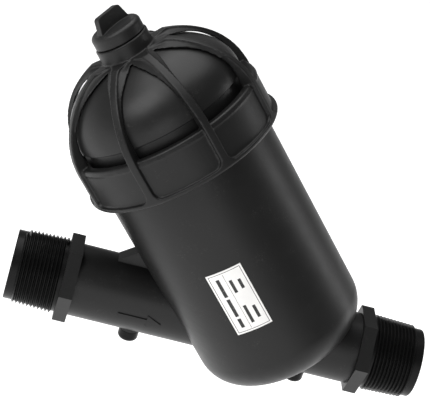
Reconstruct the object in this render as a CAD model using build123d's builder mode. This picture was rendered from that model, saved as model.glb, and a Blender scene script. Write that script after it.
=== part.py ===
from build123d import *
import os
from math import acos, atan, cos, pi, radians, sin, sqrt

# Y-pattern screen filter for a drip irrigation line.
# Row frame: +X is the flow direction along the pipe run, +Z is up, and the
# origin is the centre of the inlet end. The canister leans back over the inlet.

# Pipe run
overall_length = 260.0
pipe_radius = 22.5
pipe_wall = 3.5
bore_radius = pipe_radius - pipe_wall

# Male pipe threads at both ends, 1 1/2 inch, 11 turns to the inch, tapered
thread_pitch = 25.4 / 11
thread_depth = 1.45
thread_crest_radius = pipe_radius + 1.4
thread_taper_rise = 0.9
thread_turns = 11
lip_length = 3.9
lip_chamfer = 0.3
threaded_end_length = lip_length + thread_pitch * (thread_turns + 1.35)
thread_root_at_collar = thread_crest_radius - thread_depth
thread_root_at_lip = thread_root_at_collar - thread_taper_rise
thread_start = lip_length + thread_pitch * 0.65
ridge_root_share = 0.92
ridge_crest_share = 0.14
ridge_sunk_depth = 1.1

# Hexagonal wrench collars, flats facing up and down
collar_radius = pipe_radius + 5.1
collar_thickness = 8.2

# Canister
canister_lean = 47.5
outlet_reach = 85.7
axis_crossing = overall_length - outlet_reach
canister_radius = 53.5
canister_wall = 3.5
canister_bottom = -11.8
canister_height = 165.8
canister_top = canister_bottom + canister_height
canister_bottom_thickness = 4.0
canister_bottom_round = 22.0
canister_inner_radius = canister_radius - canister_wall
rim_chamfer = 1.2

# Threaded neck band of the canister
neck_band_height = 14.5
neck_band_start = canister_top - neck_band_height
neck_band_radius = canister_radius + 1.5
neck_thread_pitch = 5.0
neck_thread_depth = 1.1
neck_thread_turns = 1.8
neck_thread_start = neck_band_start + 2.7
neck_thread_radius = neck_band_radius + neck_thread_depth

# Inner cover with its plug, dome and spout
nut_clearance = 0.5
nut_inner_radius = neck_thread_radius + nut_clearance
cover_flange_thickness = 4.5
cover_flange_top = canister_top + cover_flange_thickness
cover_flange_clearance = 0.6
cover_flange_radius = nut_inner_radius - cover_flange_clearance
dome_gap = 0.6
dome_radius = canister_radius + 0.7
dome_wall = 3.4
dome_neck_height = 10.5
dome_neck_wall_radius = dome_radius - 2.2
dome_rim_bottom = cover_flange_top + dome_neck_height
dome_rim_height = 2.0
dome_base = dome_rim_bottom + dome_rim_height
dome_height = 35.0
cover_plug_clearance = 0.5
cover_plug_radius = canister_inner_radius - cover_plug_clearance
cover_plug_wall = 6.5
cover_plug_inner_radius = cover_plug_radius - cover_plug_wall
cover_plug_depth = 8.0
cover_plug_bottom = canister_top - cover_plug_depth
cover_inner_radius = dome_neck_wall_radius - 3.6
cover_inner_step = cover_flange_top + 4.5
spout_radius = 12.2
spout_wall = 2.7
spout_bore = spout_radius - spout_wall
spout_rise = 8.2
spout_top = dome_base + dome_height + spout_rise

# Cover seal, an O-ring round the plug
seal_seat_play = 0.04
cover_seal_section = 1.52
cover_seal_clearance = 0.28
cover_seal_radius = canister_inner_radius - cover_seal_clearance - cover_seal_section
cover_seal_height = canister_top - 4.3

# Ring nut
nut_bottom = canister_top - 18.8
nut_flange_height = 3.1
nut_flange_top = nut_bottom + nut_flange_height
nut_ledge_thickness = 4.5
nut_shoulder = cover_flange_top + nut_ledge_thickness
nut_wall = 3.6
nut_panel_radius = nut_inner_radius + nut_wall
rib_depth = 2.2
nut_rib_radius = nut_panel_radius + rib_depth
nut_ledge_opening = dome_radius + 0.8
nut_edge_round = 1.5
nut_foot_chamfer = 1.2
nut_bead_height = nut_shoulder - 2.8
nut_bead_section = 0.6
hub_clearance = 0.4
hub_wall = 3.8
hub_bore = spout_radius + hub_clearance
hub_radius = hub_bore + hub_wall
hub_top = spout_top + 1.2
rib_count = 8
rib_thickness = 4.8
rib_phase = -16.0
rib_crown_start = nut_shoulder - 3.0
rib_crown_top = dome_base + dome_height + 5.3
rib_crown_height = rib_crown_top - rib_crown_start
rib_crown_flat_radius = hub_radius + 9.6
rib_crown_drop = 0.3
rib_web_radius = hub_radius + 16.6
rib_web_half_width = rib_thickness / 2 + 4.6
rib_web_middle_radius = hub_radius + 5.1
rib_web_middle_half_width = rib_thickness / 2 + 1.5
pocket_corner = 5.0

# Flush plug on top
flush_washer_thickness = 1.5
flush_washer_outer = spout_radius - 0.2
flush_washer_play = 0.4
flush_seat = spout_top + flush_washer_thickness
flush_head_radius = hub_radius - 0.9
flush_head_side = 4.9
flush_head_side_top = flush_seat + flush_head_side
flush_head_crown = flush_head_side_top + 4.0
flush_stem_clearance = 0.3
flush_stem_radius = spout_bore - flush_stem_clearance
flush_stem_length = 12.7
flush_stem_bottom = flush_seat - flush_stem_length
flush_stem_bore = flush_stem_radius - 3.2
flush_stem_bore_top = flush_seat + 2.3
wing_azimuth = -134.0
wing_thickness = 4.4
wing_top = flush_head_crown + 8.8
wing_base = flush_head_side_top - 2.1
wing_half_base = flush_head_radius - 2.3
wing_half_top = flush_head_radius - 6.9
wing_corner = 2.6

# Socket in the canister floor that takes the screen element
socket_bore = 22.0
socket_wall = 3.5
socket_top = canister_bottom + 15.8
socket_step = canister_bottom + 5.3
outlet_passage_radius = socket_bore - 3.5

# Screen element
spigot_clearance = 0.4
spigot_radius = socket_bore - spigot_clearance
spigot_bottom = socket_step + 0.5
element_bore = spigot_radius - 4.1
element_flange_top = socket_top + 5.0
screen_radius = 33.0
screen_bar_depth = 2.4
screen_bottom = element_flange_top
screen_top = canister_top + 6.0
hoop_height = 3.0
end_hoop_height = 6.0
hoop_count = 6
screen_bar_count = 12
screen_bar_width = 3.0
mesh_play = 0.05
mesh_thickness = 0.4
cap_lip_wall = 2.0
cap_radius = screen_radius + cap_lip_wall
cap_top = screen_top + 4.0
cap_lip_depth = 4.0
cap_grip_radius = 7.0
cap_grip_top = cap_top + 20.0
cap_fin_thickness = 2.4
cap_fin_reach = cap_radius - 11.0
spigot_seal_section = 1.3
spigot_seal_clearance = 0.35
spigot_seal_radius = socket_bore - spigot_seal_clearance - spigot_seal_section
spigot_seal_height = (socket_top + socket_step) / 2

# Pressure ports in the underside of the pipe, each with a plug and a washer
port_positions = {"inlet": axis_crossing - 93.1, "outlet": axis_crossing + 14.7}
port_boss_radius = 7.4
port_boss_rise = 0.9
port_boss_bottom = -pipe_radius - port_boss_rise
port_hole_radius = 5.0
port_washer_thickness = 1.0
port_washer_radius = port_boss_radius - 1.2
port_head_radius = port_boss_radius - 1.0
port_head_height = 7.0
port_head_round = 3.0
port_stem_clearance = 0.3
port_stem_radius = port_hole_radius - port_stem_clearance
port_stem_length = port_washer_thickness + port_boss_rise + pipe_wall - 1.2
port_hex_radius = port_head_radius - 3.4
port_hex_depth = port_head_height / 2

# Gusset in the crotch between pipe and canister
gusset_half_thickness = 5.5
gusset_peak_z = pipe_radius + 9.0

# Raised flow arrow on the front of the pipe
arrow_start = axis_crossing - 104.3
arrow_length = 27.0
arrow_shaft_half = 1.5
arrow_head_half = 4.5
arrow_head_length = 9.0
arrow_height_z = -5.0
arrow_relief = 0.7

# Label wrapped on the front of the canister
label_bottom = 36.2
label_length = 43.0
label_centre_azimuth = -93.2
label_arc = 24.2
label_thickness = 0.25
label_play = 0.02

# Frames of the leaning canister: one across it, one holding its profile
lean = radians(canister_lean)
canister_origin = (axis_crossing, 0, 0)
across = (sin(lean), 0, cos(lean))
along = (-cos(lean), 0, sin(lean))
canister_plane = Plane(origin=canister_origin, x_dir=across, z_dir=along)
profile_plane = Plane(origin=canister_origin, x_dir=across, z_dir=(0, -1, 0))
canister_axis = Axis(canister_origin, along)
gusset_wall_x = axis_crossing - (canister_radius + gusset_peak_z * cos(lean)) / sin(lean)
gusset_peak_x = gusset_wall_x + 1.6
gusset_toe = gusset_peak_x - 12.0
gusset_heel_x = gusset_peak_x + 17.5
os.makedirs("parts", exist_ok=True)


def turned_profile(azimuth):
    """Profile plane through the canister axis, turned round it by an azimuth in degrees."""
    turn = radians(azimuth)
    radial = Vector(across) * cos(turn) + Vector(0, 1, 0) * sin(turn)
    facing = Vector(across) * sin(turn) - Vector(0, 1, 0) * cos(turn)
    return Plane(origin=canister_origin, x_dir=radial, z_dir=facing)


def ellipse_height(radius, half_width, height, base):
    """Height of an elliptical crown at a radius from the canister axis."""
    return base + height * sqrt(1 - (radius / half_width) ** 2)


def write(builder, label):
    """Name a finished piece and write its file."""
    builder.part.label = label
    export_step(builder.part, f"parts/{label}.step")


def thread_ridge(start, direction, pitch, turns, first_radius, last_radius, depth):
    """One helical ridge, tapered if its radii differ, winding from a start point along a direction."""
    height = pitch * turns
    path = Helix(
        pitch=pitch,
        height=height,
        radius=first_radius,
        center=start,
        direction=direction,
        cone_angle=atan((last_radius - first_radius) / height) * 180 / pi,
    )
    half_root = pitch * ridge_root_share / 2
    half_crest = pitch * ridge_crest_share / 2
    with BuildPart() as ridge:
        with BuildSketch(Plane(origin=path @ 0, x_dir=direction, z_dir=path % 0)):
            with BuildLine():
                Polyline(
                    (-half_root, -ridge_sunk_depth),
                    (-half_root, 0),
                    (-half_crest, depth),
                    (half_crest, depth),
                    (half_root, 0),
                    (half_root, -ridge_sunk_depth),
                    close=True,
                )
            make_face()
        sweep(path=path, is_frenet=True)
    return ridge.part


# Housing: pipe run, collars, canister, gusset, screen socket and flow arrow
inlet_ridge = thread_ridge(
    start=(thread_start, 0, 0),
    direction=(1, 0, 0),
    pitch=thread_pitch,
    turns=thread_turns,
    first_radius=thread_root_at_lip,
    last_radius=thread_root_at_collar,
    depth=thread_depth,
)
outlet_ridge = thread_ridge(
    start=(overall_length - thread_start, 0, 0),
    direction=(-1, 0, 0),
    pitch=thread_pitch,
    turns=thread_turns,
    first_radius=thread_root_at_lip,
    last_radius=thread_root_at_collar,
    depth=thread_depth,
)
neck_ridge = thread_ridge(
    start=canister_plane.offset(neck_thread_start).origin,
    direction=along,
    pitch=neck_thread_pitch,
    turns=neck_thread_turns,
    first_radius=neck_band_radius,
    last_radius=neck_band_radius,
    depth=neck_thread_depth,
)

arrow_plane = Plane(
    origin=(arrow_start, -pipe_radius / 2, arrow_height_z), x_dir=(1, 0, 0), z_dir=(0, -1, 0)
)
with BuildPart() as flow_arrow:
    with BuildSketch(arrow_plane):
        with BuildLine():
            Polyline(
                (0, -arrow_shaft_half),
                (arrow_length - arrow_head_length, -arrow_shaft_half),
                (arrow_length - arrow_head_length, -arrow_head_half),
                (arrow_length, 0),
                (arrow_length - arrow_head_length, arrow_head_half),
                (arrow_length - arrow_head_length, arrow_shaft_half),
                (0, arrow_shaft_half),
                close=True,
            )
        make_face()
    extrude(amount=pipe_radius)
    with BuildSketch(Plane.YZ.offset(arrow_start - 5)):
        Circle(pipe_radius + arrow_relief)
    extrude(amount=arrow_length + 10, mode=Mode.INTERSECT)

passage_start = axis_crossing - bore_radius * 1.6
with BuildPart() as outlet_passage:
    with BuildSketch(Plane.YZ.offset(passage_start)):
        Circle(bore_radius)
    extrude(amount=overall_length - passage_start)
    split(bisect_by=canister_plane.offset(canister_bottom), keep=Keep.BOTTOM)

with BuildPart() as housing:
    with BuildSketch(Plane.XZ):
        with BuildLine():
            Polyline(
                (0, 0),
                (0, thread_root_at_lip - lip_chamfer),
                (lip_chamfer, thread_root_at_lip),
                (lip_length, thread_root_at_lip),
                (threaded_end_length, thread_root_at_collar),
                (threaded_end_length, pipe_radius),
                (overall_length - threaded_end_length, pipe_radius),
                (overall_length - threaded_end_length, thread_root_at_collar),
                (overall_length - lip_length, thread_root_at_lip),
                (overall_length - lip_chamfer, thread_root_at_lip),
                (overall_length, thread_root_at_lip - lip_chamfer),
                (overall_length, 0),
                close=True,
            )
        make_face()
    revolve(axis=Axis.X)

    for collar_start in (
        threaded_end_length,
        overall_length - threaded_end_length - collar_thickness,
    ):
        with BuildSketch(Plane.YZ.offset(collar_start)):
            RegularPolygon(radius=collar_radius, side_count=6)
        extrude(amount=collar_thickness)

    with BuildSketch(profile_plane):
        with BuildLine():
            wall_foot = canister_bottom + canister_bottom_round
            floor_edge = canister_radius - canister_bottom_round
            Line((0, canister_bottom), (floor_edge, canister_bottom))
            RadiusArc(
                (floor_edge, canister_bottom),
                (canister_radius, wall_foot),
                -canister_bottom_round,
            )
            Polyline(
                (canister_radius, wall_foot),
                (canister_radius, neck_band_start),
                (neck_band_radius, neck_band_start + 1.5),
                (neck_band_radius, canister_top - 1),
                (neck_band_radius - 1, canister_top),
                (0, canister_top),
                (0, canister_bottom),
            )
        make_face()
    revolve(axis=canister_axis)

    with BuildSketch(Plane.XZ):
        with BuildLine():
            Polyline(
                (gusset_toe, pipe_radius - 4),
                (gusset_toe, pipe_radius),
                (gusset_peak_x, gusset_peak_z),
                (gusset_heel_x, gusset_peak_z),
                (gusset_heel_x, pipe_radius - 4),
                close=True,
            )
        make_face()
    extrude(amount=gusset_half_thickness, both=True)

    for port_x in port_positions.values():
        with BuildSketch(Plane.XY.offset(port_boss_bottom)):
            with Locations((port_x, 0)):
                Circle(port_boss_radius)
        extrude(amount=port_boss_rise + pipe_wall + 1)
    add(flow_arrow.part)
    add(inlet_ridge)
    add(outlet_ridge)
    add(neck_ridge)

    # Hollow of the canister
    with BuildSketch(profile_plane):
        with BuildLine():
            hollow_bottom = canister_bottom + canister_bottom_thickness
            hollow_round = canister_bottom_round - canister_wall
            hollow_foot = hollow_bottom + hollow_round
            hollow_edge = canister_inner_radius - hollow_round
            Line((0, hollow_bottom), (hollow_edge, hollow_bottom))
            RadiusArc(
                (hollow_edge, hollow_bottom),
                (canister_inner_radius, hollow_foot),
                -hollow_round,
            )
            Polyline(
                (canister_inner_radius, hollow_foot),
                (canister_inner_radius, canister_top - rim_chamfer),
                (canister_inner_radius + rim_chamfer, canister_top),
                (canister_inner_radius + rim_chamfer, canister_top + 5),
                (0, canister_top + 5),
                (0, hollow_bottom),
            )
        make_face()
    revolve(axis=canister_axis, mode=Mode.SUBTRACT)

    # Inlet bore ends inside the hollow, the outlet passage starts under its floor
    inlet_bore_end = axis_crossing - canister_inner_radius + 1
    with BuildSketch(Plane.YZ):
        Circle(bore_radius)
    extrude(amount=inlet_bore_end, mode=Mode.SUBTRACT)
    add(outlet_passage.part, mode=Mode.SUBTRACT)

    with BuildSketch(profile_plane):
        with BuildLine():
            Polyline(
                (socket_bore, canister_bottom + 2),
                (socket_bore + socket_wall, canister_bottom + 2),
                (socket_bore + socket_wall, socket_top),
                (socket_bore + 0.8, socket_top),
                (socket_bore, socket_top - 0.8),
                close=True,
            )
        make_face()
    revolve(axis=canister_axis)
    with BuildSketch(canister_plane.offset(socket_step)):
        Circle(socket_bore)
    extrude(amount=-socket_step + socket_top - 1, mode=Mode.SUBTRACT)
    with BuildSketch(canister_plane.offset(canister_bottom - 0.4)):
        Circle(outlet_passage_radius)
    extrude(amount=8, mode=Mode.SUBTRACT)

    for port_x in port_positions.values():
        with BuildSketch(Plane.XY.offset(port_boss_bottom - 1)):
            with Locations((port_x, 0)):
                Circle(port_hole_radius)
        extrude(amount=port_boss_rise + pipe_wall + 3, mode=Mode.SUBTRACT)
write(housing, "filter_housing")

# Ring nut: skirt with pockets between its ribs, fins over the dome, and a hub
fin_foot = dome_rim_bottom - 10
fin_end = hub_radius - 2.5
dome_clear_radius = dome_radius + dome_gap
dome_clear_height = dome_height + dome_gap
dome_clear_at_bore = ellipse_height(hub_bore, dome_clear_radius, dome_clear_height, dome_base)
dome_clear_at_hub = ellipse_height(hub_radius, dome_clear_radius, dome_clear_height, dome_base)

with BuildSketch() as fin_plan:
    with BuildLine():
        for side in (-1, 1):
            ThreePointArc(
                (fin_end, side * rib_web_half_width),
                (rib_web_middle_radius, side * rib_web_middle_half_width),
                (rib_web_radius, side * rib_thickness / 2),
            )
            Line(
                (rib_web_radius, side * rib_thickness / 2),
                (nut_rib_radius + 3, side * rib_thickness / 2),
            )
        Line((fin_end, -rib_web_half_width), (fin_end, rib_web_half_width))
        Line(
            (nut_rib_radius + 3, -rib_thickness / 2),
            (nut_rib_radius + 3, rib_thickness / 2),
        )
    make_face()

with BuildPart() as fin_shell:
    with BuildSketch(profile_plane):
        with BuildLine():
            outer_arc = EllipticalCenterArc(
                center=(0, rib_crown_start),
                x_radius=nut_rib_radius,
                y_radius=rib_crown_height,
                start_angle=0,
                arc_size=acos(rib_crown_flat_radius / nut_rib_radius) * 180 / pi,
            )
            inner_arc = EllipticalCenterArc(
                center=(0, dome_base),
                x_radius=dome_clear_radius,
                y_radius=dome_clear_height,
                start_angle=0,
                arc_size=acos(fin_end / dome_clear_radius) * 180 / pi,
            )
            Polyline(outer_arc @ 1, (fin_end, (outer_arc @ 1).Y - rib_crown_drop), inner_arc @ 1)
            Polyline(
                (nut_rib_radius, rib_crown_start),
                (nut_rib_radius, fin_foot),
                (dome_clear_radius, fin_foot),
                (dome_clear_radius, dome_base),
            )
        make_face()
    revolve(axis=canister_axis)

with BuildPart() as nut_fins:
    with BuildSketch(canister_plane):
        with PolarLocations(0, rib_count, start_angle=rib_phase):
            add(fin_plan.sketch)
    extrude(amount=hub_top)
    add(fin_shell.part, mode=Mode.INTERSECT)

with BuildPart() as pocket_tool:
    with BuildSketch(canister_plane.offset(nut_flange_top)):
        Circle(nut_rib_radius + 3)
        Circle(nut_panel_radius, mode=Mode.SUBTRACT)
        with PolarLocations(nut_rib_radius, rib_count, start_angle=rib_phase):
            Rectangle(20, rib_thickness, mode=Mode.SUBTRACT)
    extrude(amount=40)
    pocket_feet = pocket_tool.edges().filter_by(GeomType.LINE)
    pocket_feet = pocket_feet.filter_by(
        lambda edge: abs(canister_plane.to_local_coords(edge.center()).Z - nut_flange_top) < 0.01
    )
    fillet(pocket_feet, radius=pocket_corner)

with BuildPart() as ring_nut:
    with BuildSketch(profile_plane):
        with BuildLine():
            Polyline(
                (nut_inner_radius + 0.8, nut_bottom),
                (nut_rib_radius - nut_foot_chamfer, nut_bottom),
                (nut_rib_radius, nut_bottom + nut_foot_chamfer),
                (nut_rib_radius, rib_crown_start),
                (nut_panel_radius, rib_crown_start),
                (nut_panel_radius, nut_shoulder - nut_edge_round),
            )
            RadiusArc(
                (nut_panel_radius, nut_shoulder - nut_edge_round),
                (nut_panel_radius - nut_edge_round, nut_shoulder),
                -nut_edge_round,
            )
            Polyline(
                (nut_panel_radius - nut_edge_round, nut_shoulder),
                (nut_ledge_opening, nut_shoulder),
                (nut_ledge_opening, cover_flange_top),
                (nut_inner_radius, cover_flange_top),
                (nut_inner_radius, nut_bottom + 0.8),
                (nut_inner_radius + 0.8, nut_bottom),
            )
        make_face()
    revolve(axis=canister_axis)
    add(pocket_tool.part, mode=Mode.SUBTRACT)
    with BuildSketch(profile_plane):
        with Locations((nut_panel_radius - 0.1, nut_bead_height)):
            Circle(nut_bead_section)
    revolve(axis=canister_axis)
    with BuildSketch(profile_plane):
        with BuildLine():
            Polyline(
                (hub_bore, dome_clear_at_bore),
                (hub_radius, dome_clear_at_hub),
                (hub_radius, hub_top - 0.6),
                (hub_radius - 0.6, hub_top),
                (hub_bore + 0.6, hub_top),
                (hub_bore, hub_top - 0.6),
                close=True,
            )
        make_face()
    revolve(axis=canister_axis)
    add(nut_fins.part)
write(ring_nut, "ring_nut")

# Inner cover: plug, flange, neck wall, dome and spout in one moulding
seal_groove_half = cover_seal_section + seal_seat_play * 2
seal_groove_floor = cover_seal_radius - cover_seal_section - seal_seat_play
dome_at_spout = ellipse_height(spout_radius, dome_radius, dome_height, dome_base)
inner_dome_height = dome_height - dome_wall
spout_inner_foot = ellipse_height(spout_bore, cover_inner_radius, inner_dome_height, dome_base)

with BuildPart() as cover_body:
    with BuildSketch(profile_plane):
        with BuildLine():
            Polyline(
                (cover_inner_radius, dome_base),
                (cover_inner_radius, cover_inner_step),
                (cover_plug_inner_radius, cover_flange_top),
                (cover_plug_inner_radius, cover_plug_bottom),
                (cover_plug_radius - 1, cover_plug_bottom),
                (cover_plug_radius, cover_plug_bottom + 1),
                (cover_plug_radius, canister_top),
                (cover_flange_radius, canister_top),
                (cover_flange_radius, cover_flange_top),
                (dome_neck_wall_radius, cover_flange_top),
                (dome_neck_wall_radius, dome_rim_bottom),
                (dome_radius - 0.5, dome_rim_bottom),
                (dome_radius, dome_rim_bottom + 0.5),
                (dome_radius, dome_base),
            )
            EllipticalCenterArc(
                center=(0, dome_base),
                x_radius=dome_radius,
                y_radius=dome_height,
                start_angle=0,
                arc_size=90,
            )
            Line((0, dome_base + dome_height), (0, dome_base + inner_dome_height))
            EllipticalCenterArc(
                center=(0, dome_base),
                x_radius=cover_inner_radius,
                y_radius=inner_dome_height,
                start_angle=0,
                arc_size=90,
            )
        make_face()
    revolve(axis=canister_axis)
    with BuildSketch(canister_plane.offset(dome_at_spout - 1)):
        Circle(spout_radius)
    extrude(amount=spout_top - dome_at_spout + 1)
    with BuildSketch(canister_plane.offset(spout_inner_foot - 5)):
        Circle(spout_bore)
    extrude(amount=spout_top - spout_inner_foot + 10, mode=Mode.SUBTRACT)
    with BuildSketch(canister_plane.offset(cover_seal_height - seal_groove_half)):
        Circle(cover_plug_radius + 2)
        Circle(seal_groove_floor, mode=Mode.SUBTRACT)
    extrude(amount=seal_groove_half * 2, mode=Mode.SUBTRACT)
write(cover_body, "cover_dome")

with BuildPart() as cover_seal:
    with BuildSketch(profile_plane):
        with Locations((cover_seal_radius, cover_seal_height)):
            Circle(cover_seal_section)
    revolve(axis=canister_axis)
write(cover_seal, "cover_seal")

# Flush plug: hollow threaded stem, round head and a thumb wing across it
with BuildPart() as flush_seal:
    with BuildSketch(canister_plane.offset(spout_top)):
        Circle(flush_washer_outer)
        Circle(flush_stem_radius + flush_washer_play, mode=Mode.SUBTRACT)
    extrude(amount=flush_washer_thickness)
write(flush_seal, "flush_plug_seal")

with BuildPart() as flush_plug:
    with BuildSketch(profile_plane):
        with BuildLine():
            Polyline(
                (0, flush_stem_bore_top),
                (flush_stem_bore, flush_stem_bore_top - 3),
                (flush_stem_bore, flush_stem_bottom),
                (flush_stem_radius - 0.8, flush_stem_bottom),
                (flush_stem_radius, flush_stem_bottom + 0.8),
                (flush_stem_radius, flush_seat),
                (flush_head_radius - 0.5, flush_seat),
                (flush_head_radius, flush_seat + 0.5),
                (flush_head_radius, flush_head_side_top),
            )
            ThreePointArc(
                (flush_head_radius, flush_head_side_top),
                (flush_head_radius - 1.2, flush_head_side_top + 2.7),
                (flush_head_radius - 4, flush_head_crown - 1),
            )
            ThreePointArc(
                (flush_head_radius - 4, flush_head_crown - 1),
                (flush_head_radius / 2 - 2, flush_head_crown - 0.25),
                (0, flush_head_crown),
            )
            Line((0, flush_head_crown), (0, flush_stem_bore_top))
        make_face()
    revolve(axis=canister_axis)
    with BuildSketch(turned_profile(wing_azimuth)):
        with BuildLine() as wing_outline:
            Polyline(
                (-wing_half_base, wing_base),
                (wing_half_base, wing_base),
                (wing_half_top, wing_top),
                (-wing_half_top, wing_top),
                close=True,
            )
        make_face()
        wing_tips = wing_outline.vertices().filter_by(lambda tip: abs(tip.Y - wing_top) < 0.01)
        fillet(wing_tips, radius=wing_corner)
    extrude(amount=wing_thickness / 2, both=True)
write(flush_plug, "flush_plug")

# Screen element: cage, mesh sleeve, bottom collar with its seal, and top cap
mesh_inner_radius = screen_radius + mesh_play
mesh_outer_radius = mesh_inner_radius + mesh_thickness
mesh_lip_radius = mesh_outer_radius + mesh_play

with BuildPart() as screen_cage:
    end_centre = end_hoop_height / 2
    with BuildSketch(profile_plane):
        for hoop_centre in (screen_bottom + end_centre, screen_top - end_centre):
            with Locations((screen_radius - screen_bar_depth / 2, hoop_centre)):
                Rectangle(screen_bar_depth, end_hoop_height)
    revolve(axis=canister_axis)
    hoop_step = (screen_top - screen_bottom - end_hoop_height) / (hoop_count + 1)
    for hoop in range(1, hoop_count + 1):
        with BuildSketch(
            canister_plane.offset(screen_bottom + end_centre + hoop * hoop_step - hoop_height / 2)
        ):
            Circle(screen_radius)
            Circle(screen_radius - screen_bar_depth, mode=Mode.SUBTRACT)
        extrude(amount=hoop_height)
    with BuildSketch(canister_plane.offset(screen_bottom + 1)):
        with PolarLocations(screen_radius - screen_bar_depth / 2, screen_bar_count):
            Rectangle(screen_bar_depth - 0.6, screen_bar_width)
    extrude(amount=screen_top - screen_bottom - 2)
write(screen_cage, "screen_cage")

with BuildPart() as screen_mesh:
    with BuildSketch(canister_plane.offset(screen_bottom)):
        Circle(mesh_outer_radius)
        Circle(mesh_inner_radius, mode=Mode.SUBTRACT)
    extrude(amount=screen_top - screen_bottom)
write(screen_mesh, "screen_mesh")

spigot_groove_half = spigot_seal_section + seal_seat_play * 2
spigot_groove_floor = spigot_seal_radius - spigot_seal_section - seal_seat_play
with BuildPart() as screen_collar:
    with BuildSketch(profile_plane):
        with BuildLine():
            Polyline(
                (element_bore, spigot_bottom),
                (spigot_radius - 0.8, spigot_bottom),
                (spigot_radius, spigot_bottom + 0.8),
                (spigot_radius, spigot_seal_height - spigot_groove_half),
                (spigot_groove_floor, spigot_seal_height - spigot_groove_half),
                (spigot_groove_floor, spigot_seal_height + spigot_groove_half),
                (spigot_radius, spigot_seal_height + spigot_groove_half),
                (spigot_radius, socket_top),
                (cap_radius, socket_top),
                (cap_radius, element_flange_top + cap_lip_depth),
                (mesh_lip_radius, element_flange_top + cap_lip_depth),
                (mesh_lip_radius, element_flange_top),
                (element_bore + 8, element_flange_top),
                (element_bore, element_flange_top - 4),
                close=True,
            )
        make_face()
    revolve(axis=canister_axis)
write(screen_collar, "screen_bottom_collar")

with BuildPart() as spigot_seal:
    with BuildSketch(profile_plane):
        with Locations((spigot_seal_radius, spigot_seal_height)):
            Circle(spigot_seal_section)
    revolve(axis=canister_axis)
write(spigot_seal, "screen_bottom_seal")

with BuildPart() as screen_cap:
    with BuildSketch(profile_plane):
        with BuildLine():
            Polyline(
                (0, screen_top),
                (mesh_lip_radius, screen_top),
                (mesh_lip_radius, screen_top - cap_lip_depth),
                (cap_radius, screen_top - cap_lip_depth),
                (cap_radius, cap_top - 1),
                (cap_radius - 1, cap_top),
                (cap_grip_radius, cap_top),
                (cap_grip_radius, cap_grip_top - 1),
                (cap_grip_radius - 1, cap_grip_top),
                (0, cap_grip_top),
                close=True,
            )
        make_face()
    revolve(axis=canister_axis)
    for fin_turn in (0, 90):
        with BuildSketch(turned_profile(fin_turn)):
            with BuildLine():
                Polyline(
                    (-cap_fin_reach, cap_top - 1),
                    (cap_fin_reach, cap_top - 1),
                    (cap_grip_radius, cap_grip_top - 3),
                    (-cap_grip_radius, cap_grip_top - 3),
                    close=True,
                )
            make_face()
        extrude(amount=cap_fin_thickness / 2, both=True)
write(screen_cap, "screen_top_cap")

# Port plugs and their washers, screwed up into the underside of the pipe
port_washer_bottom = port_boss_bottom - port_washer_thickness
port_head_bottom = port_washer_bottom - port_head_height
for port_name, port_x in port_positions.items():
    with BuildPart() as port_seal:
        with BuildSketch(Plane.XY.offset(port_washer_bottom)):
            with Locations((port_x, 0)):
                Circle(port_washer_radius)
                Circle(port_stem_radius + port_stem_clearance, mode=Mode.SUBTRACT)
        extrude(amount=port_washer_thickness)
    write(port_seal, f"{port_name}_port_seal")

    with BuildPart() as port_plug:
        with BuildSketch(Plane.XY.offset(port_head_bottom)):
            with Locations((port_x, 0)):
                Circle(port_head_radius)
        extrude(amount=port_washer_bottom - port_head_bottom)
        head_rim = port_plug.edges().filter_by(GeomType.CIRCLE).sort_by(Axis.Z)[0]
        fillet(head_rim, radius=port_head_round)
        with BuildSketch(Plane.XY.offset(port_head_bottom)):
            with Locations((port_x, 0)):
                RegularPolygon(radius=port_hex_radius, side_count=6)
        extrude(amount=port_hex_depth, mode=Mode.SUBTRACT)
        with BuildSketch(Plane.XY.offset(port_washer_bottom - 1)):
            with Locations((port_x, 0)):
                Circle(port_stem_radius)
        extrude(amount=port_stem_length + 1)
    write(port_plug, f"{port_name}_port_plug")

# Specification label wrapped on the front of the canister
with BuildPart() as label_patch:
    with BuildSketch(turned_profile(label_centre_azimuth - label_arc / 2)):
        with Locations(
            (
                canister_radius + label_play + label_thickness / 2,
                label_bottom + label_length / 2,
            )
        ):
            Rectangle(label_thickness, label_length)
    revolve(axis=canister_axis, revolution_arc=label_arc)
write(label_patch, "specification_label")
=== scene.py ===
"""Looks of a drip irrigation screen filter, built round its CAD frame."""

import math

import bmesh
import bpy
import numpy as np
from bpy.props import FloatProperty, FloatVectorProperty, IntProperty, PointerProperty
from mathutils import Matrix, Vector


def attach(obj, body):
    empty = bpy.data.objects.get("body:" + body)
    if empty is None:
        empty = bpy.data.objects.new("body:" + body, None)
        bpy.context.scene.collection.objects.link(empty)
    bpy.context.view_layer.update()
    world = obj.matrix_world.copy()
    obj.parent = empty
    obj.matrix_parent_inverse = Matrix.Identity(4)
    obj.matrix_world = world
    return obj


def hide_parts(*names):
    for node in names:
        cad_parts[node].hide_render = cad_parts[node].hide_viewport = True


bl_info = {
    "name": "Drip Irrigation Filter Looks",
    "version": (1, 0, 0),
    "blender": (4, 5, 0),
    "location": "3D View > Sidebar > Drip Filter",
    "description": "Dresses the CAD solids of a drip irrigation screen filter",
    "category": "Object",
}

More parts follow.
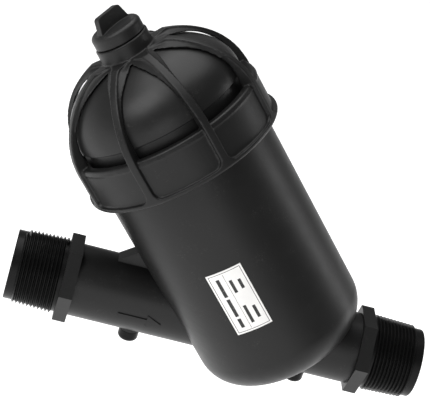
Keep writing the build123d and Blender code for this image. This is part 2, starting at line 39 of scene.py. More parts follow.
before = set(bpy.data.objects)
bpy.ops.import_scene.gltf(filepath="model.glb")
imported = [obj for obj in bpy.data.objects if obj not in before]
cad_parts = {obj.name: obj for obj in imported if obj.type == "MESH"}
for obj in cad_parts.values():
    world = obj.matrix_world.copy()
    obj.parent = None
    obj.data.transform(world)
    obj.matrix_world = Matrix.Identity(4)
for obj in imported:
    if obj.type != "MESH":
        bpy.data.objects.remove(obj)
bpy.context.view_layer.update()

# Frame of the leaning canister, in metres
LEAN = math.radians(47.5)
CANISTER_ORIGIN = Vector((0.1743, 0.0, 0.0))
ACROSS = Vector((math.sin(LEAN), 0.0, math.cos(LEAN)))
SIDE = Vector((0.0, 1.0, 0.0))
ALONG = Vector((-math.cos(LEAN), 0.0, math.sin(LEAN)))

# Where the pipe threads stop against their collars, in metres along the pipe
THREAD_INLET_END = 0.0322
THREAD_OUTLET_START = 0.2278

# Radii of the canister's wall and reach of the pipe's turned surfaces, in metres
CANISTER_OUTER = 0.0535
CANISTER_INNER = 0.0500
WALL_PLAY = 1.5e-4
PIPE_REACH = 0.0255
INLET_COLLAR_END = 0.045
INLET_COLLAR_TOP = 0.035
OUTLET_COLLAR_START = 0.2262

# The clear dome that the ribs span and the crown that they follow, in metres
DOME_CLEAR_RADIUS = 0.0550
DOME_CLEAR_BASE = 0.1711
DOME_CLEAR_RISE = 0.0357
CROWN_RADIUS = 0.0624
CROWN_BASE = 0.1600
CROWN_RISE = 0.0513
CROWN_FLAT_RADIUS = 0.026

# Where the two port plugs stand along the pipe, in metres
PORT_PLACES = (("inlet", 0.0812), ("outlet", 0.1890))

# Plain bars on the label: left, right, start and end from its middle, in metres.
# The last one is the thin divider.
LABEL_RADIUS = 0.0537
LABEL_BARS = (
    (-0.0068, -0.0046, -0.0176, -0.0112),
    (-0.0068, -0.0046, -0.0096, 0.0030),
    (-0.0068, -0.0046, 0.0046, 0.0172),
    (0.0003, 0.0022, -0.0166, -0.0042),
    (0.0003, 0.0022, 0.0052, 0.0142),
    (0.0052, 0.0071, -0.0150, -0.0064),
    (0.0052, 0.0071, 0.0062, 0.0128),
    (-0.0014, -0.0012, -0.0194, 0.0194),
)
BORDER_INSET = 0.0011
BORDER_LINE = 0.00035

SCREEN_RADIUS = 0.033
MOST_TRIANGLES = 185000
FLOOR_REACH = 40.0
FLOOR_HEIGHT = -0.3


# ---------------------------------------------------------------- materials


class Wire:
    """One output socket. Arithmetic on it adds Math nodes."""

    def __init__(self, finish, socket):
        self.finish = finish
        self.socket = socket

    def __add__(self, other):
        return self.finish.maths("ADD", self, other)

    __radd__ = __add__

    def __sub__(self, other):
        return self.finish.maths("SUBTRACT", self, other)

    def __rsub__(self, other):
        return self.finish.maths("SUBTRACT", other, self)

    def __mul__(self, other):
        return self.finish.maths("MULTIPLY", self, other)

    __rmul__ = __mul__

    def __gt__(self, other):
        return self.finish.maths("GREATER_THAN", self, other)

    def __lt__(self, other):
        return self.finish.maths("LESS_THAN", self, other)


class Finish:
    """A procedural material on the piece's own Object coordinates."""

    def __init__(self, name):
        self.material = bpy.data.materials.new(name)
        self.material.use_nodes = True
        self.tree = self.material.node_tree
        self.tree.nodes.clear()
        self.output = self.tree.nodes.new("ShaderNodeOutputMaterial")
        self.shader = self.tree.nodes.new("ShaderNodeBsdfPrincipled")
        self.tree.links.new(self.shader.outputs[0], self.output.inputs[0])
        self.place = self.node("ShaderNodeTexCoord", output="Object")

    def join(self, value, socket):
        """Sets an input socket to a number or colour, or links a wire to it."""
        if isinstance(value, Wire):
            self.tree.links.new(value.socket, socket)
        else:
            socket.default_value = value

    def node(self, kind, settings=None, sockets=None, output=0):
        """Adds a node: its settings first, then its sockets, and returns one output."""
        made = self.tree.nodes.new(kind)
        for setting, value in (settings or {}).items():
            setattr(made, setting, value)
        for socket, value in (sockets or {}).items():
            self.join(value, made.inputs[socket])
        return Wire(self, made.outputs[output])

    def maths(self, operation, first, second=0.0):
        """One Math node."""
        return self.node("ShaderNodeMath", {"operation": operation}, {0: first, 1: second})

    def clamp(self, value, low=0.0, high=1.0):
        """A value held between two numbers."""
        return self.node("ShaderNodeClamp", {}, {"Value": value, "Min": low, "Max": high})

    def span(self, value, low, high, start=0.0, end=1.0):
        """A value carried smoothly from one range to another."""
        return self.node(
            "ShaderNodeMapRange",
            {"interpolation_type": "SMOOTHSTEP"},
            {"Value": value, "From Min": low, "From Max": high, "To Min": start, "To Max": end},
        )

    def within(self, value, low, high):
        """1 where a value lies between two numbers."""
        return (value > low) * (value < high)

    def noise(self, scale, detail, rough, place=None):
        """Noise at a scale in cells per metre."""
        return self.node(
            "ShaderNodeTexNoise",
            {"noise_dimensions": "3D"},
            {"Vector": place or self.place, "Scale": scale, "Detail": detail, "Roughness": rough},
            "Fac",
        )

    def colour_mix(self, factor, first, second):
        """One colour over another by a factor."""
        return self.node(
            "ShaderNodeMix",
            {"data_type": "RGBA", "blend_type": "MIX", "clamp_factor": True},
            {0: factor, 6: first, 7: second},
            2,
        )

    def bumps(self, *layers):
        """A chain of Bump nodes from (height, strength, depth in metres)."""
        normal = None
        for height, strength, depth in layers:
            sockets = {"Height": height, "Strength": strength, "Distance": depth}
            if normal is not None:
                sockets["Normal"] = normal
            normal = self.node("ShaderNodeBump", {}, sockets, "Normal")
        return normal

    def dress(self, **sockets):
        """Sets the shader's sockets, named with underscores for spaces."""
        for name, value in sockets.items():
            self.join(value, self.shader.inputs[name.replace("_", " ")])
        return self.material

    def canister_place(self):
        """Azimuth in radians and height in metres of each point about the canister's axis."""
        offset = self.node(
            "ShaderNodeVectorMath",
            {"operation": "SUBTRACT"},
            {0: self.place, 1: tuple(CANISTER_ORIGIN)},
        )

        def part(direction):
            return self.node(
                "ShaderNodeVectorMath",
                {"operation": "DOT_PRODUCT"},
                {0: offset, 1: tuple(direction)},
                "Value",
            )

        azimuth = self.maths("ARCTAN2", part(SIDE), part(ACROSS))
        return azimuth, part(ALONG)


def grey(value, warmth=0.0):
    """A grey colour, a little warm or cool."""
    return (value * (1 + warmth), value, value * (1 - warmth), 1.0)


def moulded_plastic(name, tone, roughness, grain=1.0, haze=0.25, marks=1.0, sheen=0.28):
    """Satin black moulded plastic: fine grain, flow marks, hazy patches and faint handling marks."""
    finish = Finish(name)
    broad = finish.noise(16.0, 4.0, 0.55)
    patches = finish.noise(70.0, 5.0, 0.6)
    fine = finish.noise(2400.0, 3.0, 0.6)
    pits = finish.noise(900.0, 4.0, 0.65)
    stretched = finish.node(
        "ShaderNodeMapping", {"vector_type": "POINT"}, {"Vector": finish.place, "Scale": (1.0, 4.0, 9.0)}
    )
    flow = finish.noise(26.0, 5.0, 0.6, stretched)
    rubs = finish.noise(520.0, 5.0, 0.7, stretched)
    rub_mask = finish.span(rubs, 0.63, 0.72) * finish.span(patches, 0.5, 0.62)
    dust = finish.span(patches, 0.5, 0.75) * finish.span(pits, 0.52, 0.7)
    veil = finish.span(broad, 0.35, 0.7)
    base = finish.colour_mix(veil * haze, grey(tone), grey(tone * 1.75, 0.015))
    base = finish.colour_mix(dust * (0.22 * marks), base, grey(0.13, 0.03))
    base = finish.colour_mix(rub_mask * (0.2 * marks), base, grey(0.09, 0.01))
    shine = roughness + (flow - 0.5) * 0.1 + (patches - 0.5) * 0.12 - rub_mask * 0.05 + dust * 0.1
    return finish.dress(
        Base_Color=base,
        Roughness=finish.clamp(shine, 0.12, 0.9),
        Specular_IOR_Level=sheen,
        Normal=finish.bumps(
            (broad, 0.18, 0.0011),
            (flow, 0.12, 0.0004),
            (pits, 0.1 * grain, 0.00012),
            (fine, 0.16 * grain, 0.00005),
        ),
    )


def glossy_plastic(name, tone):
    """Polished black plastic of the small port plugs, with fine scuffs."""
    finish = Finish(name)
    cloud = finish.noise(180.0, 4.0, 0.6)
    scuffs = finish.noise(1500.0, 5.0, 0.7)
    worn = finish.span(scuffs, 0.58, 0.72)
    base = finish.colour_mix(worn * 0.25, grey(tone), grey(0.06))
    return finish.dress(
        Base_Color=base,
        Roughness=finish.clamp(0.16 + (cloud - 0.5) * 0.1 + worn * 0.12),
        Specular_IOR_Level=0.14,
        Normal=finish.bumps((cloud, 0.1, 0.0003), (scuffs, 0.08, 0.00004)),
    )


def sealing_rubber(name, tone):
    """Matte black moulded rubber with a faint bloom."""
    finish = Finish(name)
    bloom = finish.noise(240.0, 5.0, 0.6)
    skin = finish.noise(2600.0, 3.0, 0.6)
    base = finish.colour_mix(finish.span(bloom, 0.45, 0.75) * 0.4, grey(tone), grey(0.07, 0.01))
    return finish.dress(
        Base_Color=base,
        Roughness=finish.clamp(0.68 + (bloom - 0.5) * 0.2),
        Specular_IOR_Level=0.3,
        Normal=finish.bumps((bloom, 0.1, 0.0002), (skin, 0.2, 0.00004)),
    )


def woven_steel(name, wires_per_metre, tone):
    """Fine woven stainless wire on the screen's sleeve."""
    finish = Finish(name)
    azimuth, height = finish.canister_place()
    weft = finish.maths("SINE", height * (wires_per_metre * 2 * math.pi))
    warp = finish.maths("SINE", azimuth * (SCREEN_RADIUS * wires_per_metre * 2 * math.pi))
    weave = weft * warp * 0.5 + 0.5
    holes = finish.span(weave, 0.12, 0.3)
    stain = finish.noise(60.0, 4.0, 0.6)
    base = finish.colour_mix(holes, grey(0.06), grey(tone, 0.01))
    base = finish.colour_mix(finish.span(stain, 0.5, 0.8) * 0.35, base, (0.3, 0.27, 0.22, 1.0))
    return finish.dress(
        Base_Color=base,
        Metallic=0.9,
        Roughness=finish.clamp(0.42 + (stain - 0.5) * 0.25),
        Normal=finish.bumps((weave, 0.5, 0.00008)),
    )


def label_paper(name, sizes, finishes):
    """White coated paper with a printed border, a divider and plain bars in place of words."""
    finish = Finish(name)
    azimuth, height = finish.canister_place()
    across = (azimuth - math.radians(sizes.label_azimuth)) * LABEL_RADIUS
    up = height - sizes.label_middle
    fibres = finish.noise(1800.0, 5.0, 0.6)
    cloud = finish.noise(90.0, 3.0, 0.5)
    half_width = sizes.label_width / 2
    half_length = sizes.label_length / 2
    edge_across = finish.maths("ABSOLUTE", across)
    edge_up = finish.maths("ABSOLUTE", up)

    def strip(low, high, start, end):
        return finish.within(across, low, high) * finish.within(up, start, end)

    def panel(inset):
        return (edge_across < half_width - inset) * (edge_up < half_length - inset)

    ink = panel(BORDER_INSET) * (1 - panel(BORDER_INSET + BORDER_LINE))
    for bar in LABEL_BARS:
        ink = ink + strip(*bar)
    ink = finish.clamp(ink)
    worn_ink = ink * finish.span(fibres, 0.25, 0.42, 0.72, 1.0)
    paper = finish.colour_mix(finish.span(cloud, 0.4, 0.7) * 0.5, finishes.paper, grey(0.82, 0.01))
    edges = finish.span(edge_up, half_length - 0.0006, half_length) * 0.4
    paper = finish.colour_mix(edges, paper, grey(0.5, 0.02))
    base = finish.colour_mix(worn_ink, paper, grey(0.02))
    return finish.dress(
        Base_Color=base,
        Roughness=finish.clamp(0.46 + (cloud - 0.5) * 0.12 + ink * 0.06),
        Specular_IOR_Level=0.4,
        Normal=finish.bumps((fibres, 0.12, 0.00004), (cloud, 0.1, 0.0002)),
    )


def studio_floor(name):
    """Plain pale matte floor."""
    finish = Finish(name)
    soft = finish.noise(1.4, 2.0, 0.5)
    return finish.dress(
        Base_Color=finish.colour_mix(soft * 0.4, grey(0.9), grey(0.86)),
        Roughness=0.85,
        Specular_IOR_Level=0.2,
        Emission_Color=(1.0, 1.0, 1.0, 1.0),
        Emission_Strength=0.7,
    )


# ------------------------------------------------------------------- pieces


def new_piece(name, mesh):
    """An object at the origin with its place in its mesh."""
    piece = bpy.data.objects.new(name, mesh)
    bpy.context.scene.collection.objects.link(piece)
    return piece


def tangents_about(points, origin, axis):
    """Unit directions round an axis at each point, and the points' distances from it."""
    offset = points - np.array(origin)
    around = np.cross(np.array(axis), offset)
    distance = np.linalg.norm(around, axis=1)
    return around / np.maximum(distance, 1e-9)[:, None], distance


def turning_directions(points, about_port=None):
    """The direction round whichever axis the surface at each point was turned about."""
    if about_port is not None:
        return tangents_about(points, (about_port, 0.0, 0.0), (0.0, 0.0, 1.0))[0]
    canister, canister_distance = tangents_about(points, CANISTER_ORIGIN, ALONG)
    pipe, pipe_distance = tangents_about(points, (0.0, 0.0, 0.0), (1.0, 0.0, 0.0))
    outside = np.abs(canister_distance - CANISTER_OUTER) < WALL_PLAY
    inside = np.abs(canister_distance - CANISTER_INNER) < WALL_PLAY
    on_pipe = (pipe_distance < PIPE_REACH) & ~(outside | inside)
    inlet_end = (points[:, 0] < INLET_COLLAR_END) & (points[:, 2] < INLET_COLLAR_TOP)
    outlet_end = points[:, 0] > OUTLET_COLLAR_START
    return np.where((on_pipe | inlet_end | outlet_end)[:, None], pipe, canister)


def true_normals(mesh, crease, about_port=None, turned=0.13):
    """Corner normals as the turned surfaces have them, free of the flat triangles' streaks."""
    corners = len(mesh.loops)
    vertex = np.empty(corners, dtype=np.int64)
    mesh.loops.foreach_get("vertex_index", vertex)
    places = np.empty(len(mesh.vertices) * 3)
    mesh.vertices.foreach_get("co", places)
    places = places.reshape(-1, 3)
    triangles = vertex.reshape(-1, 3)
    a, b, c = (places[triangles[:, index]] for index in range(3))
    flat = np.cross(b - a, c - a)
    area = np.linalg.norm(flat, axis=1)
    flat /= np.maximum(area, 1e-16)[:, None]
    face = np.repeat(flat, 3, axis=0)
    weight = np.repeat(area, 3)
    around = turning_directions(places[vertex], about_port)
    slip = np.sum(face * around, axis=1)
    face = np.where((np.abs(slip) < turned)[:, None], face - slip[:, None] * around, face)
    face /= np.linalg.norm(face, axis=1)[:, None]
    order = np.argsort(vertex, kind="stable")
    starts = np.flatnonzero(np.diff(vertex[order], prepend=-1))
    ends = np.append(starts[1:], corners)
    limit = math.cos(math.radians(crease))
    normals = np.empty_like(face)
    for start, end in zip(starts, ends):
        here = order[start:end]
        near = face[here] @ face[here].T > limit
        normals[here] = near @ (face[here] * weight[here, None])
    normals /= np.maximum(np.linalg.norm(normals, axis=1), 1e-16)[:, None]
    mesh.normals_split_custom_set(normals.tolist())


def cad_copy(node, name, crease=32.0, about_port=None):
    """A merged, smoothly shaded copy of a CAD node's mesh."""
    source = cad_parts[node]
    mesh = source.data.copy()
    mesh.name = name
    shape = bmesh.new()
    shape.from_mesh(mesh)
    bmesh.ops.remove_doubles(shape, verts=shape.verts, dist=2e-6)
    shape.to_mesh(mesh)
    shape.free()
    mesh.materials.clear()
    mesh.shade_smooth()
    true_normals(mesh, crease, about_port)
    return new_piece(name, mesh)


def frozen(piece):
    """Turns a piece and its modifiers into a plain mesh."""
    bpy.context.view_layer.update()
    evaluated = piece.evaluated_get(bpy.context.evaluated_depsgraph_get())
    mesh = bpy.data.meshes.new_from_object(evaluated)
    piece.modifiers.clear()
    piece.data = mesh
    return piece


def joined(name, parts):
    """Several plain pieces as one."""
    shape = bmesh.new()
    for part in parts:
        shape.from_mesh(part.data)
        bpy.data.objects.remove(part)
    mesh = bpy.data.meshes.new(name)
    shape.to_mesh(mesh)
    shape.free()
    return new_piece(name, mesh)


def softened(piece, voxel):
    """Rounds a piece's edges as moulding does, by a fine remesh and a light smoothing."""
    remesh = piece.modifiers.new("Even skin", "REMESH")
    remesh.mode = "VOXEL"
    remesh.voxel_size = voxel
    remesh.use_smooth_shade = True
    smooth = piece.modifiers.new("Round edges", "SMOOTH")
    smooth.factor = 0.5
    smooth.iterations = 2
    frozen(piece)
    triangles = sum(len(face.vertices) - 2 for face in piece.data.polygons)
    if triangles > MOST_TRIANGLES:
        thin = piece.modifiers.new("Fewer faces", "DECIMATE")
        thin.ratio = MOST_TRIANGLES / triangles
        frozen(piece)
    piece.data.shade_smooth()
    return piece


def finished(piece, material, body, slot, *nodes):
    """Gives a piece its finish, its body and the CAD nodes that it stands for."""
    piece.data.materials.clear()
    piece.data.materials.append(material)
    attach(piece, body)
    if nodes:
        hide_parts(*nodes)
    return piece


def rib_foot_mesh(sizes):
    """One flared foot under a rib of the ring nut, at azimuth 0, from the canister's origin."""

    def dome_height(radius):
        share = min(radius / DOME_CLEAR_RADIUS, 1.0)
        return DOME_CLEAR_BASE + DOME_CLEAR_RISE * math.sqrt(1 - share * share)

    def crown_height(radius):
        share = max(radius, CROWN_FLAT_RADIUS) / CROWN_RADIUS
        return CROWN_BASE + CROWN_RISE * math.sqrt(1 - share * share)

    stations = [0.0150 + 0.0011 * step for step in range(34)]
    rings = []
    for radius in stations:
        flare = 1.0 / (1.0 + math.exp((radius - 0.0345) / 0.0062))
        half = sizes.rib_top / 2 + 0.0003 + (sizes.rib_foot - sizes.rib_top) / 2 * flare
        top_half = sizes.rib_top / 2 - 0.0006
        crown = crown_height(radius) - 0.0007
        outline = []
        for step in range(9):
            offset = half * (step / 4 - 1)
            outline.append((offset, dome_height(math.hypot(radius, offset))))
        skirt = dome_height(math.hypot(radius, half)) + 0.0006
        for share in (0.0, 0.34, 0.67, 1.0):
            offset = half + (top_half - half) * share
            outline.append((offset, skirt + (crown - skirt) * share**1.25))
        for share in (1.0, 0.67, 0.34, 0.0):
            offset = half + (top_half - half) * share
            outline.append((-offset, skirt + (crown - skirt) * share**1.25))
        rings.append([radius * ACROSS + offset * SIDE + height * ALONG for offset, height in outline])
    shape = bmesh.new()
    sides = len(rings[0])
    points = [[shape.verts.new(point) for point in ring] for ring in rings]
    for first, second in zip(points, points[1:]):
        for index in range(sides):
            after = (index + 1) % sides
            shape.faces.new((first[index], first[after], second[after], second[index]))
    shape.faces.new(points[0][::-1])
    shape.faces.new(points[-1])
    bmesh.ops.recalc_face_normals(shape, faces=shape.faces)
    mesh = bpy.data.meshes.new("rib_foot")
    shape.to_mesh(mesh)
    shape.free()
    return mesh


def ring_pattern_tree(material):
    """Geometry Nodes that repeat a shape evenly round the canister's axis."""
    tree = bpy.data.node_groups.new("Pattern round the canister", "GeometryNodeTree")
    face = tree.interface
    face.new_socket("Shape", in_out="INPUT", socket_type="NodeSocketGeometry")
    count = face.new_socket("Count", in_out="INPUT", socket_type="NodeSocketInt")
    count.default_value = 8
    phase = face.new_socket("Phase", in_out="INPUT", socket_type="NodeSocketFloat")
    phase.subtype = "ANGLE"
    face.new_socket("Pattern", in_out="OUTPUT", socket_type="NodeSocketGeometry")

    def add(kind, sockets=None, **settings):
        made = tree.nodes.new(kind)
        for setting, value in settings.items():
            setattr(made, setting, value)
        for socket, value in (sockets or {}).items():
            if isinstance(value, bpy.types.NodeSocket):
                tree.links.new(value, made.inputs[socket])
            else:
                made.inputs[socket].default_value = value
        return made

    entry = add("NodeGroupInput")
    centres = add("GeometryNodePoints", {"Count": entry.outputs["Count"], "Position": CANISTER_ORIGIN})
    order = add("GeometryNodeInputIndex")
    step = add("ShaderNodeMath", {0: 2 * math.pi, 1: entry.outputs["Count"]}, operation="DIVIDE")
    turn = add("ShaderNodeMath", {0: order.outputs[0], 1: step.outputs[0]}, operation="MULTIPLY")
    angle = add("ShaderNodeMath", {0: turn.outputs[0], 1: entry.outputs["Phase"]}, operation="ADD")
    spin = add("FunctionNodeAxisAngleToRotation", {"Axis": ALONG, "Angle": angle.outputs[0]})
    spread = add(
        "GeometryNodeInstanceOnPoints",
        {
            "Points": centres.outputs[0],
            "Instance": entry.outputs["Shape"],
            "Rotation": spin.outputs[0],
        },
    )
    real = add("GeometryNodeRealizeInstances", {"Geometry": spread.outputs[0]})
    painted = add("GeometryNodeSetMaterial", {"Geometry": real.outputs[0], "Material": material})
    add("NodeGroupOutput", {"Pattern": painted.outputs[0]})
    return tree


def round_pattern(name, mesh, count, phase, material):
    """A shape repeated round the canister's axis, as a plain mesh."""
    tree = ring_pattern_tree(material)
    piece = new_piece(name, mesh)
    pattern = piece.modifiers.new("Pattern", "NODES")
    pattern.node_group = tree
    for item in tree.interface.items_tree:
        if item.in_out == "INPUT" and item.name == "Count":
            pattern[item.identifier] = count
        if item.in_out == "INPUT" and item.name == "Phase":
            pattern[item.identifier] = phase
    return frozen(piece)


# --------------------------------------------------------------- properties


class FilterSizes(bpy.types.PropertyGroup):
    """Sizes of the dressed pieces."""

    rib_count: IntProperty(name="Ribs", description="Ribs over the dome", default=8, min=3)
    rib_phase: FloatProperty(
        name="First rib",
        description="Azimuth of the first rib",
        default=math.radians(-16.0),
        subtype="ANGLE",
    )
    rib_top: FloatProperty(
        name="Rib crown width", description="Width along a rib's crown", default=0.0048, unit="LENGTH"
    )
    rib_foot: FloatProperty(
        name="Rib foot width", description="Widest foot of a rib, by the hub", default=0.0158, unit="LENGTH"
    )
    nut_skin: FloatProperty(
        name="Nut skin step", description="Step of the nut's even skin", default=0.0006, unit="LENGTH"
    )
    plug_skin: FloatProperty(
        name="Plug skin step",
        description="Step of the flush plug's even skin",
        default=0.0003,
        unit="LENGTH",
    )
    label_azimuth: FloatProperty(
        name="Label azimuth", description="Middle of the label, degrees", default=-93.2
    )
    label_middle: FloatProperty(
        name="Label height",
        description="Middle of the label along the canister",
        default=0.0577,
        unit="LENGTH",
    )
    label_width: FloatProperty(
        name="Label width", description="Label's width round the canister", default=0.0227, unit="LENGTH"
    )
    label_length: FloatProperty(
        name="Label length", description="Label's length along the canister", default=0.0430, unit="LENGTH"
    )


class FilterFinishes(bpy.types.PropertyGroup):
    """Tones and shine of the finishes."""

    housing_tone: FloatProperty(
        name="Housing tone", description="Grey level of the housing", default=0.007, min=0
    )
    cover_tone: FloatProperty(
        name="Cover tone", description="Grey level of the cover", default=0.008, min=0
    )
    nut_tone: FloatProperty(
        name="Ring nut tone", description="Grey level of the ring nut", default=0.007, min=0
    )
    plug_tone: FloatProperty(
        name="Flush plug tone", description="Grey level of the plug", default=0.009, min=0
    )
    satin: FloatProperty(
        name="Satin", description="Roughness of the moulded plastic", default=0.4, min=0, max=1
    )
    paper: FloatVectorProperty(
        name="Label paper",
        description="Colour of the label's paper",
        default=(0.90, 0.89, 0.87, 1.0),
        size=4,
        subtype="COLOR",
    )


# ---------------------------------------------------------------- operators


class FILTER_OT_housing(bpy.types.Operator):
    """Dress the one-piece housing: canister, pipe run, collars and threads"""

    bl_idname = "filter.housing"
    bl_label = "Filter Housing"

    def execute(self, context):
        finishes = context.scene.filter_finishes
        plastic = moulded_plastic("Housing plastic", finishes.housing_tone, finishes.satin)
        piece = cad_copy("filter_housing", "moulded_housing", 30.0)
        finished(piece, plastic, "housing", "housing_plastic", "filter_housing")
        # The threads take a darker copy of the housing plastic, at half its tone and a lower specular
        # level: painted shade in place of the shade that falls in the thread grooves.
        thread_painted_shade = moulded_plastic("Thread plastic painted shade", finishes.housing_tone * 0.5, 0.34, 0.6, 0.1, 0.5, 0.16)
        piece.data.materials.append(thread_painted_shade)
        for face in piece.data.polygons:
            if face.center.x < THREAD_INLET_END or face.center.x > THREAD_OUTLET_START:
                face.material_index = 1
        return {"FINISHED"}


class FILTER_OT_ring_nut(bpy.types.Operator):
    """Dress the ring nut with its flared ribs"""

    bl_idname = "filter.ring_nut"
    bl_label = "Ring Nut"

    def execute(self, context):
        sizes = context.scene.filter_sizes
        finishes = context.scene.filter_finishes
        plastic = moulded_plastic("Ring nut plastic", finishes.nut_tone, finishes.satin + 0.02, 1.1)
        ring = cad_copy("ring_nut", "ring_nut_shell")
        feet = round_pattern("rib_feet", rib_foot_mesh(sizes), sizes.rib_count, sizes.rib_phase, plastic)
        piece = softened(joined("ribbed_ring_nut", [ring, feet]), sizes.nut_skin)
        finished(piece, plastic, "nut", "nut_plastic", "ring_nut")
        return {"FINISHED"}


class FILTER_OT_cover(bpy.types.Operator):
    """Dress the domed cover"""

    bl_idname = "filter.cover"
    bl_label = "Domed Cover"

    def execute(self, context):
        finishes = context.scene.filter_finishes
        plastic = moulded_plastic("Cover plastic", finishes.cover_tone, finishes.satin - 0.02, 0.9, 0.35)
        piece = cad_copy("cover_dome", "domed_cover", 30.0)
        finished(piece, plastic, "cover", "cover_plastic", "cover_dome")
        return {"FINISHED"}


class FILTER_OT_flush_plug(bpy.types.Operator):
    """Dress the flush plug with its wing"""

    bl_idname = "filter.flush_plug"
    bl_label = "Flush Plug"

    def execute(self, context):
        sizes = context.scene.filter_sizes
        finishes = context.scene.filter_finishes
        plastic = moulded_plastic("Flush plug plastic", finishes.plug_tone, finishes.satin + 0.04, 1.2)
        piece = softened(cad_copy("flush_plug", "winged_flush_plug"), sizes.plug_skin)
        finished(piece, plastic, "flush_plug_body", "plug_plastic", "flush_plug")
        return {"FINISHED"}


class FILTER_OT_port_plugs(bpy.types.Operator):
    """Dress the two small port plugs under the pipe"""

    bl_idname = "filter.port_plugs"
    bl_label = "Port Plugs"

    def execute(self, context):
        gloss = glossy_plastic("Port plug plastic", 0.004)
        for side, centre in PORT_PLACES:
            piece = cad_copy(f"{side}_port_plug", f"{side}_glossy_plug", 35.0, centre)
            finished(piece, gloss, f"{side}_plug", "port_plug_plastic", f"{side}_port_plug")
        return {"FINISHED"}


class FILTER_OT_seals(bpy.types.Operator):
    """Dress the rubber seals"""

    bl_idname = "filter.seals"
    bl_label = "Seals"

    def execute(self, context):
        rubber = sealing_rubber("Seal rubber", 0.02)
        seals = (
            ("cover_seal", "cover"),
            ("flush_plug_seal", "flush_seal"),
            ("screen_bottom_seal", "housing"),
            ("inlet_port_seal", "inlet_seal"),
            ("outlet_port_seal", "outlet_seal"),
        )
        for node, body in seals:
            finished(cad_copy(node, f"{node}_rubber", 40.0), rubber, body, "seal_rubber", node)
        return {"FINISHED"}


class FILTER_OT_screen(bpy.types.Operator):
    """Dress the screen inside the canister: cage, sleeve, cap and collar"""

    bl_idname = "filter.screen"
    bl_label = "Screen"

    def execute(self, context):
        cage = moulded_plastic("Screen cage plastic", 0.03, 0.5, 1.0, 0.2, 0.5)
        for node in ("screen_cage", "screen_top_cap", "screen_bottom_collar"):
            finished(cad_copy(node, f"{node}_moulding"), cage, "housing", "cage_plastic", node)
        sleeve = cad_copy("screen_mesh", "woven_screen_sleeve")
        finished(sleeve, woven_steel("Woven steel", 2600.0, 0.55), "housing", "mesh_steel", "screen_mesh")
        return {"FINISHED"}


class FILTER_OT_label(bpy.types.Operator):
    """Dress the specification label with plain bars"""

    bl_idname = "filter.label"
    bl_label = "Specification Label"

    def execute(self, context):
        paper = label_paper("Label paper", context.scene.filter_sizes, context.scene.filter_finishes)
        piece = cad_copy("specification_label", "printed_label", 40.0)
        finished(piece, paper, "housing", "label_paper", "specification_label")
        return {"FINISHED"}


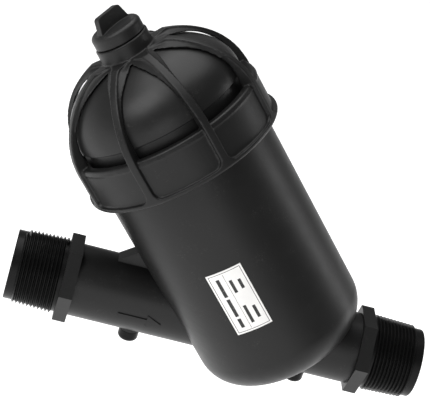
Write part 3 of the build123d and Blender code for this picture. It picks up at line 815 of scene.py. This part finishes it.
class FILTER_OT_stage(bpy.types.Operator):
    """Set up the floor, the lights and the camera"""

    bl_idname = "filter.stage"
    bl_label = "Stage"

    def execute(self, context):
        scene = context.scene
        mesh = bpy.data.meshes.new("studio_floor")
        corners = [
            (x * FLOOR_REACH, y * FLOOR_REACH, FLOOR_HEIGHT)
            for x, y in ((-1, -1), (1, -1), (1, 1), (-1, 1))
        ]
        mesh.from_pydata(corners, [], [(0, 1, 2, 3)])
        mesh.materials.append(studio_floor("Studio floor"))
        floor = new_piece("studio_floor", mesh)
        middle = Vector((0.115, 0.0, 0.07))
        lamps = (
            ("key_light", (-0.85, -0.55, 0.95), 0.7, 0.9, 11.0),
            ("top_light", (-0.35, 0.35, 1.5), 1.5, 1.5, 20.0),
            ("edge_light", (1.2, 0.35, 0.3), 0.25, 0.9, 2.5),
            ("front_light", (0.3, -1.8, 0.25), 1.0, 1.0, 5.0),
        )
        for name, place, width, height, power in lamps:
            data = bpy.data.lights.new(name, "AREA")
            data.shape = "RECTANGLE"
            data.size = width
            data.size_y = height
            data.energy = power
            lamp = bpy.data.objects.new(name, data)
            lamp.location = place
            lamp.rotation_euler = (middle - Vector(place)).to_track_quat("-Z", "Y").to_euler()
            scene.collection.objects.link(lamp)
        world = bpy.data.worlds.new("soft_studio")
        world.use_nodes = True
        backdrop = world.node_tree.nodes["Background"]
        backdrop.inputs["Color"].default_value = (1.0, 1.0, 1.0, 1.0)
        backdrop.inputs["Strength"].default_value = 0.2
        scene.world = world
        scene.view_settings.view_transform = "Standard"
        camera_data = bpy.data.cameras.new("studio_camera")
        camera_data.sensor_fit = "HORIZONTAL"
        camera_data.sensor_width = 36.0
        camera_data.lens = 135.03
        camera_data.clip_start = 0.05
        camera_data.clip_end = 100.0
        camera = bpy.data.objects.new("studio_camera", camera_data)
        azimuth, fall, roll = 0.123047, 0.415493, 0.300491
        ahead = Vector(
            (math.sin(azimuth) * math.cos(fall), math.cos(azimuth) * math.cos(fall), -math.sin(fall))
        )
        right = Vector((math.cos(azimuth), -math.sin(azimuth), 0.0))
        upward = right.cross(ahead)
        turned_right = math.cos(roll) * right + math.sin(roll) * upward
        turned_up = math.cos(roll) * upward - math.sin(roll) * right
        turn = Matrix((turned_right, turned_up, -ahead)).transposed()
        camera.matrix_world = Matrix.Translation((0.0, -0.884065, 0.467363)) @ turn.to_4x4()
        scene.collection.objects.link(camera)
        scene.camera = camera
        return {"FINISHED"}


OPERATORS = (
    FILTER_OT_housing,
    FILTER_OT_ring_nut,
    FILTER_OT_cover,
    FILTER_OT_flush_plug,
    FILTER_OT_port_plugs,
    FILTER_OT_seals,
    FILTER_OT_screen,
    FILTER_OT_label,
    FILTER_OT_stage,
)


class FILTER_PT_looks(bpy.types.Panel):
    """Sidebar panel of the filter's looks"""

    bl_label = "Drip Irrigation Filter"
    bl_space_type = "VIEW_3D"
    bl_region_type = "UI"
    bl_category = "Drip Filter"

    def draw(self, context):
        layout = self.layout
        for group in (context.scene.filter_sizes, context.scene.filter_finishes):
            box = layout.box()
            for name in group.bl_rna.properties.keys():
                if name not in ("rna_type", "name"):
                    box.prop(group, name)
        for operator in OPERATORS:
            layout.operator(operator.bl_idname)


CLASSES = (FilterSizes, FilterFinishes, *OPERATORS, FILTER_PT_looks)


def register():
    """Registers the classes and the scene's two property groups."""
    for entry in CLASSES:
        bpy.utils.register_class(entry)
    bpy.types.Scene.filter_sizes = PointerProperty(type=FilterSizes)
    bpy.types.Scene.filter_finishes = PointerProperty(type=FilterFinishes)


def unregister():
    """Takes the property groups and the classes away."""
    del bpy.types.Scene.filter_finishes
    del bpy.types.Scene.filter_sizes
    for entry in reversed(CLASSES):
        bpy.utils.unregister_class(entry)


def main():
    """Dresses the whole filter."""
    register()
    bpy.ops.filter.housing()
    bpy.ops.filter.ring_nut()
    bpy.ops.filter.cover()
    bpy.ops.filter.flush_plug()
    bpy.ops.filter.port_plugs()
    bpy.ops.filter.seals()
    bpy.ops.filter.screen()
    bpy.ops.filter.label()
    bpy.ops.filter.stage()


if __name__ == "__main__":
    main()
